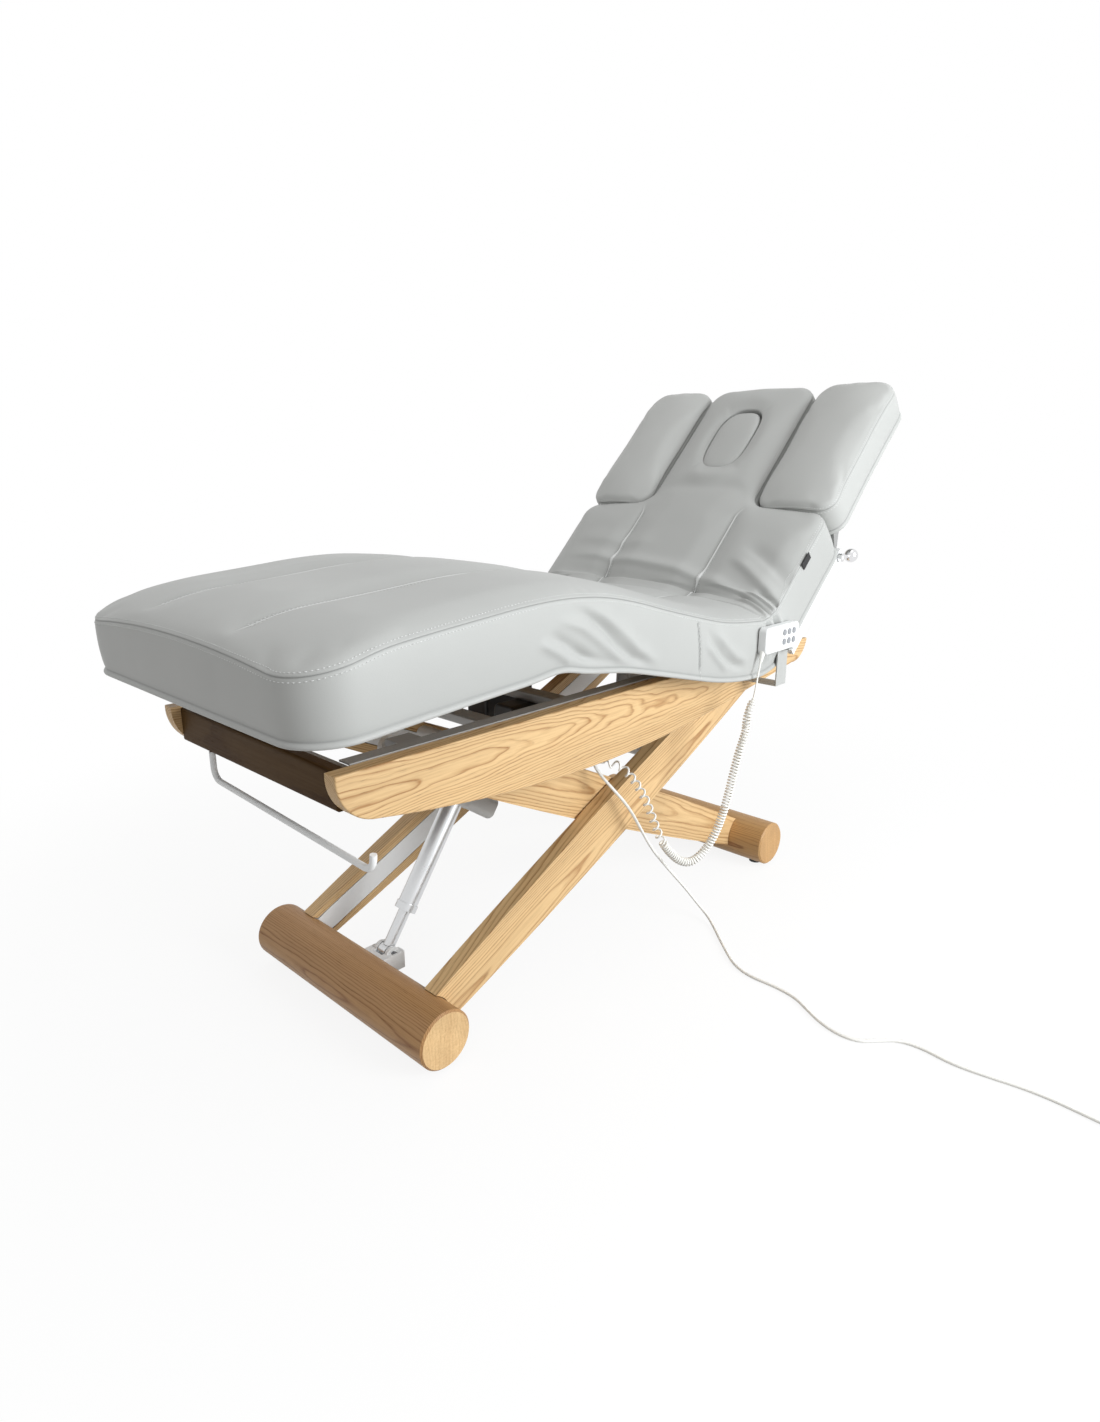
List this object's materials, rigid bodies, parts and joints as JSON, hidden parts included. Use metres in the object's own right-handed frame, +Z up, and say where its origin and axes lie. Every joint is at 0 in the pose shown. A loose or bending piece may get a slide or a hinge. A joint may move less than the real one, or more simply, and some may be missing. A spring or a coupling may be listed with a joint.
{
  "type": "electric spa bed",
  "caption": "Padded treatment bed with folding leg and back sections, arm rests and a face hole, on an oak scissor stand with an electric lift.",
  "frame": {"origin": "on the floor, under the middle of the bed's box without its mains lead", "axes": "+X to the head end, +Z up, -Y to the side that carries the handset"},
  "size_m": [1.8588, 1.765, 1.3207],
  "materials": {
    "oak": "oiled oak",
    "plywood": "plain plywood",
    "grey_steel": "light grey powder coat",
    "white_metal": "white powder coat",
    "chrome": "polished",
    "dark_plastic": "fine moulded texture",
    "white_plastic": "smooth moulded",
    "upholstery": "coated leatherette over foam",
    "black_rubber": "matt",
    "cream_sheath": "smooth flexible sheath"
  },
  "bodies": {
    "front_foot": {"front_foot_beam": "oak", "front_glides": "black_rubber", "lift_clevis": "white_metal", "mains_cord": "cream_sheath", "mains_coil": "cream_sheath", "coil_tie": "black_rubber", "mains_plug": "cream_sheath"},
    "bed_frame": {"rail_left": "oak", "rail_right": "oak", "end_board": "oak", "side_channels": "grey_steel", "frame_members": "grey_steel", "seat_board": "plywood", "seat_cushion": "upholstery", "control_box": "dark_plastic", "cord_glands": "cream_sheath", "roll_holder": "white_metal", "handset_hook": "white_metal", "handset_case": "white_plastic", "curly_cord": "cream_sheath", "back_drive": "dark_plastic", "leg_drive": "dark_plastic"},
    "outer_legs": {"outer_leg_left": "oak", "outer_leg_right": "oak", "outer_leg_frame": "white_metal"},
    "rear_rollers": {"rear_rollers": "white_plastic"},
    "inner_legs": {"inner_leg_left": "oak", "inner_leg_right": "oak", "inner_leg_frame": "white_metal"},
    "rear_foot": {"rear_foot_beam": "oak", "rear_glides": "black_rubber"},
    "lift_rod": {"lift_rod": "grey_steel"},
    "lift_tube": {"lift_tube": "grey_steel", "lift_motor": "white_plastic"},
    "backrest": {"back_arms": "grey_steel", "back_side_bars": "white_metal", "back_board": "plywood", "back_cushion": "upholstery", "head_cushion": "upholstery"},
    "thigh_section": {"thigh_arms": "grey_steel", "thigh_board": "plywood", "thigh_cushion": "upholstery"},
    "calf_section": {"calf_arms": "grey_steel", "calf_board": "plywood", "calf_cushion": "upholstery"},
    "back_drive_rod": {"back_drive_rod": "grey_steel"},
    "leg_drive_rod": {"leg_drive_rod": "grey_steel"},
    "arm_rest_left": {"arm_pad_left": "upholstery", "arm_bracket_left": "grey_steel"},
    "arm_rest_right": {"arm_pad_right": "upholstery", "arm_bracket_right": "grey_steel"},
    "arm_lever_left": {"arm_lever_left": "chrome"},
    "arm_lever_right": {"arm_lever_right": "chrome"},
    "face_plug": {"face_plug": "upholstery"},
    "button_back_up": {"button_back_up": "dark_plastic"},
    "button_back_down": {"button_back_down": "dark_plastic"},
    "button_legs_up": {"button_legs_up": "dark_plastic"},
    "button_legs_down": {"button_legs_down": "dark_plastic"},
    "button_height_up": {"button_height_up": "dark_plastic"},
    "button_height_down": {"button_height_down": "dark_plastic"}
  },
  "joints": [
    {"name": "lift", "type": "slide", "parent": "front_foot", "child": "bed_frame", "axis": [0, 0, 1], "range_m": [-0.1, 0.12], "deforming": ["mains_cord"]},
    {"name": "outer_legs_swing", "type": "hinge", "parent": "front_foot", "child": "outer_legs", "pos_m": [-0.64902, 0, 0.066], "axis": [0, -1, 0], "range_deg": [-4.9, 5.9]},
    {"name": "inner_legs_swing", "type": "hinge", "parent": "bed_frame", "child": "inner_legs", "pos_m": [-0.64902, 0, 0.61595], "axis": [0, 1, 0], "range_deg": [-4.9, 5.9]},
    {"name": "rear_foot_level", "type": "hinge", "parent": "inner_legs", "child": "rear_foot", "pos_m": [0.54502, 0, 0.066], "axis": [0, -1, 0], "range_deg": [-4.9, 5.9]},
    {"name": "lift_rod_swing", "type": "hinge", "parent": "front_foot", "child": "lift_rod", "pos_m": [-0.567, 0, 0.095], "axis": [0, -1, 0], "range_deg": [-6.7, 8]},
    {"name": "lift_stroke", "type": "slide", "parent": "lift_rod", "child": "lift_tube", "axis": [0.5718, 0, 0.8204], "range_m": [-0.052, 0.0625]},
    {"name": "back_tilt", "type": "hinge", "parent": "bed_frame", "child": "backrest", "pos_m": [0.34, 0, 0.64], "axis": [0, -1, 0], "range_deg": [-44, 26]},
    {"name": "back_drive_stroke", "type": "slide", "parent": "bed_frame", "child": "back_drive_rod", "axis": [1, 0, 0], "range_m": [-0.1225, 0.0725]},
    {"name": "thigh_tilt", "type": "hinge", "parent": "bed_frame", "child": "thigh_section", "pos_m": [0.153, 0, 0.64], "axis": [0, 1, 0], "range_deg": [-14, 12]},
    {"name": "calf_fold", "type": "hinge", "parent": "thigh_section", "child": "calf_section", "pos_m": [-0.38066, 0, 0.77306], "axis": [0, 1, 0], "range_deg": [-15.2, 17.7]},
    {"name": "leg_drive_stroke", "type": "slide", "parent": "bed_frame", "child": "leg_drive_rod", "axis": [-1, 0, 0], "range_m": [-0.0278, 0.024]},
    {"name": "roller_spin", "type": "hinge", "parent": "outer_legs", "child": "rear_rollers", "pos_m": [0.54502, 0, 0.61595], "axis": [0, 1, 0], "continuous": true},
    {"name": "face_plug_lift", "type": "slide", "parent": "backrest", "child": "face_plug", "axis": [-0.6947, 0, 0.7193], "range_m": [0, 0.15]},
    {"name": "arm_rest_tilt_left", "type": "hinge", "parent": "backrest", "child": "arm_rest_left", "pos_m": [0.62843, -0.362, 0.87683], "axis": [0, 1, 0], "range_deg": [0, 45]},
    {"name": "arm_lever_turn_left", "type": "hinge", "parent": "backrest", "child": "arm_lever_left", "pos_m": [0.61702, -0.3925, 0.87137], "axis": [0, 1, 0], "range_deg": [0, 60]},
    {"name": "arm_rest_tilt_right", "type": "hinge", "parent": "backrest", "child": "arm_rest_right", "pos_m": [0.62843, 0.362, 0.87683], "axis": [0, 1, 0], "range_deg": [0, 45]},
    {"name": "arm_lever_turn_right", "type": "hinge", "parent": "backrest", "child": "arm_lever_right", "pos_m": [0.61702, 0.3925, 0.87137], "axis": [0, 1, 0], "range_deg": [0, 60]},
    {"name": "button_back_up_press", "type": "slide", "parent": "bed_frame", "child": "button_back_up", "axis": [0, 1, 0], "range_m": [0, 0.0012], "stiffness_N_per_m": 500, "springref_m": -0.0005},
    {"name": "button_back_down_press", "type": "slide", "parent": "bed_frame", "child": "button_back_down", "axis": [0, 1, 0], "range_m": [0, 0.0012], "stiffness_N_per_m": 500, "springref_m": -0.0005},
    {"name": "button_legs_up_press", "type": "slide", "parent": "bed_frame", "child": "button_legs_up", "axis": [0, 1, 0], "range_m": [0, 0.0012], "stiffness_N_per_m": 500, "springref_m": -0.0005},
    {"name": "button_legs_down_press", "type": "slide", "parent": "bed_frame", "child": "button_legs_down", "axis": [0, 1, 0], "range_m": [0, 0.0012], "stiffness_N_per_m": 500, "springref_m": -0.0005},
    {"name": "button_height_up_press", "type": "slide", "parent": "bed_frame", "child": "button_height_up", "axis": [0, 1, 0], "range_m": [0, 0.0012], "stiffness_N_per_m": 500, "springref_m": -0.0005},
    {"name": "button_height_down_press", "type": "slide", "parent": "bed_frame", "child": "button_height_down", "axis": [0, 1, 0], "range_m": [0, 0.0012], "stiffness_N_per_m": 500, "springref_m": -0.0005}
  ],
  "couplings": [
    {"joint": "outer_legs_swing", "follows": "lift", "rad_per_m": 0.842},
    {"joint": "inner_legs_swing", "follows": "lift", "rad_per_m": 0.842},
    {"joint": "rear_foot_level", "follows": "lift", "rad_per_m": 0.842},
    {"joint": "lift_rod_swing", "follows": "lift", "rad_per_m": 1.145},
    {"joint": "lift_stroke", "follows": "lift", "ratio": 0.514},
    {"joint": "back_drive_stroke", "follows": "back_tilt", "m_per_rad": 0.1582},
    {"joint": "calf_fold", "follows": "thigh_tilt", "ratio": -1.25},
    {"joint": "leg_drive_stroke", "follows": "thigh_tilt", "m_per_rad": 0.11193}
  ]
}
